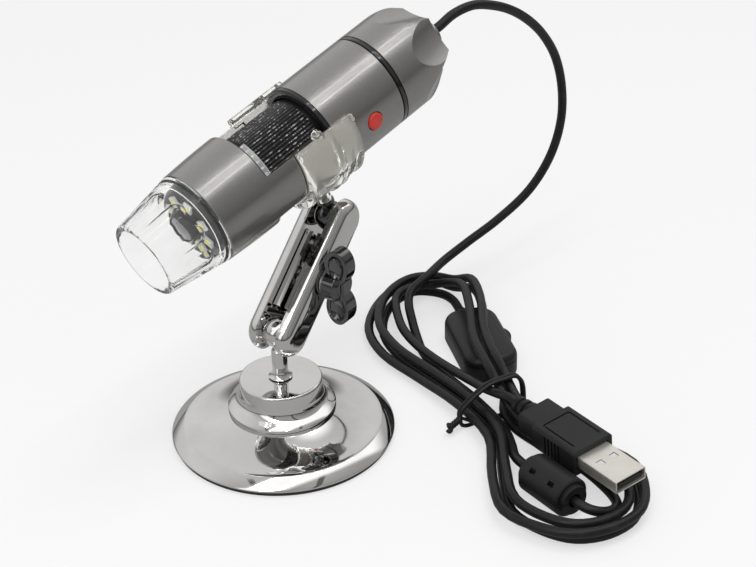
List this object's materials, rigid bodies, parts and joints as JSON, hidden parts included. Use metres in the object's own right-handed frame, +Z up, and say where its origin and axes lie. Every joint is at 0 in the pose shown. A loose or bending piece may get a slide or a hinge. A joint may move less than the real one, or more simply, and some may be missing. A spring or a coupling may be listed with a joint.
{
  "type": "usb digital microscope",
  "caption": "Tube-shaped digital microscope with ring light, focus drum and snapshot button, held by a clear clip on a ball-jointed arm over a round weighted base.",
  "frame": {"origin": "centre of the base's resting face", "axes": "+Z up; +X from the nose end of the tube toward its cord end; -Y is the side with the clamp knob and the snapshot button"},
  "size_m": [0.1923, 0.155, 0.1274],
  "materials": {
    "chrome_plate": "mirror plate, slightly warm",
    "smoked_chrome": "dark mirror plate",
    "steel": "plain machined",
    "cast_iron": "rough, unpainted",
    "brass": "plain machined",
    "grey_body": "metallic grey lacquer, satin gloss",
    "black_gloss": "high gloss black",
    "black_satin": "satin black",
    "cord_black": "satin black sheath",
    "rubber": "matte black foam rubber",
    "clear_plastic": "clear, polished",
    "silver_label": "silver printed film",
    "red_plastic": "satin red",
    "led_phosphor": "yellow phosphor in white frame",
    "green_board": "green circuit board",
    "sensor_black": "dark image chip",
    "lens_glass": "coated lens",
    "nickel": "nickel plated sheet"
  },
  "bodies": {
    "base": {"base_pad": "rubber", "base_shell": "chrome_plate", "base_weight": "cast_iron", "stud_screw": "steel", "cord_lead": "cord_black", "cord_run": "cord_black", "cord_hank": "cord_black", "cord_plug_run": "cord_black", "hank_tie": "cord_black", "dimmer_bottom": "black_satin", "dimmer_top": "black_satin", "dimmer_pot": "steel", "ferrite_top": "black_satin", "ferrite_bottom": "black_satin", "ferrite_bead": "cast_iron", "plug_body": "black_satin", "plug_relief": "cord_black", "plug_shell": "nickel", "plug_tongue": "black_satin"},
    "lower_stud": {"lower_ball_stud": "chrome_plate"},
    "arm": {"arm_back_shell": "chrome_plate", "clamp_bolt": "steel"},
    "arm_front": {"arm_front_shell": "chrome_plate", "clamp_washer": "steel"},
    "knob": {"clamp_knob": "smoked_chrome", "knob_insert": "brass"},
    "upper_ball": {"holder_ball": "smoked_chrome"},
    "holder": {"holder_clip": "clear_plastic"},
    "scope": {"nose_cap": "clear_plastic", "led_board": "black_satin", "led_1": "led_phosphor", "led_2": "led_phosphor", "led_3": "led_phosphor", "led_4": "led_phosphor", "led_5": "led_phosphor", "led_6": "led_phosphor", "led_7": "led_phosphor", "led_8": "led_phosphor", "front_barrel": "grey_body", "scale_label": "silver_label", "rear_barrel": "grey_body", "rear_bezel": "black_gloss", "seam_ring": "black_gloss", "tail_cap": "grey_body", "cord_grommet": "cord_black", "sensor_carrier": "black_satin", "sensor_board": "green_board", "image_sensor": "sensor_black", "snap_switch": "black_satin", "switch_board": "green_board"},
    "focus": {"focus_drum": "black_gloss"},
    "lens": {"lens_barrel": "black_satin", "lens_glass": "lens_glass"},
    "button": {"snap_button": "red_plastic"},
    "dimmer": {"dimmer_wheel": "black_satin"}
  },
  "joints": [
    {"name": "base_pan", "type": "hinge", "parent": "base", "child": "lower_stud", "pos_m": [0, 0, 0.0382], "axis": [0, 0, 1], "range_deg": [-90, 90], "deforming": ["cord_lead"]},
    {"name": "arm_tilt", "type": "hinge", "parent": "lower_stud", "child": "arm", "pos_m": [0, 0, 0.0382], "axis": [0.225, -0.9744, 0], "range_deg": [-25, 30], "deforming": ["cord_lead"]},
    {"name": "clamp_open", "type": "slide", "parent": "arm", "child": "arm_front", "axis": [0.225, -0.9744, 0], "range_m": [0, 0.0007]},
    {"name": "knob_turn", "type": "hinge", "parent": "arm_front", "child": "knob", "pos_m": [0.01491, 0.00344, 0.05222], "axis": [0.225, -0.9744, 0], "range_deg": [0, 360]},
    {"name": "holder_tilt", "type": "hinge", "parent": "arm", "child": "upper_ball", "pos_m": [0.02981, 0.00688, 0.06624], "axis": [-0.225, 0.9744, 0], "range_deg": [-30, 45], "deforming": ["cord_lead"]},
    {"name": "holder_swivel", "type": "hinge", "parent": "upper_ball", "child": "holder", "pos_m": [0.02981, 0.00688, 0.06624], "axis": [-0.2924, 0, 0.9563], "range_deg": [-60, 60], "deforming": ["cord_lead"]},
    {"name": "scope_roll", "type": "hinge", "parent": "holder", "child": "scope", "pos_m": [0.01987, 0.00688, 0.09875], "axis": [0.9563, 0, 0.2924], "range_deg": [-90, 90], "deforming": ["cord_lead"]},
    {"name": "focus_turn", "type": "hinge", "parent": "scope", "child": "focus", "pos_m": [0.01987, 0.00688, 0.09875], "axis": [0.9563, 0, 0.2924], "range_deg": [0, 270]},
    {"name": "lens_travel", "type": "slide", "parent": "scope", "child": "lens", "axis": [0.9563, 0, 0.2924], "range_m": [0, 0.009]},
    {"name": "snap_press", "type": "slide", "parent": "scope", "child": "button", "axis": [0, 1, 0], "range_m": [0, 0.0008], "stiffness_N_per_m": 600, "springref_m": -0.0004},
    {"name": "dimmer_turn", "type": "hinge", "parent": "base", "child": "dimmer", "pos_m": [0.08272, -0.01541, 0.0058], "axis": [0, 0, 1], "range_deg": [0, 270]}
  ],
  "couplings": [
    {"joint": "knob_turn", "follows": "clamp_open", "rad_per_m": 8975.9},
    {"joint": "focus_turn", "follows": "lens_travel", "rad_per_m": 523.6}
  ]
}
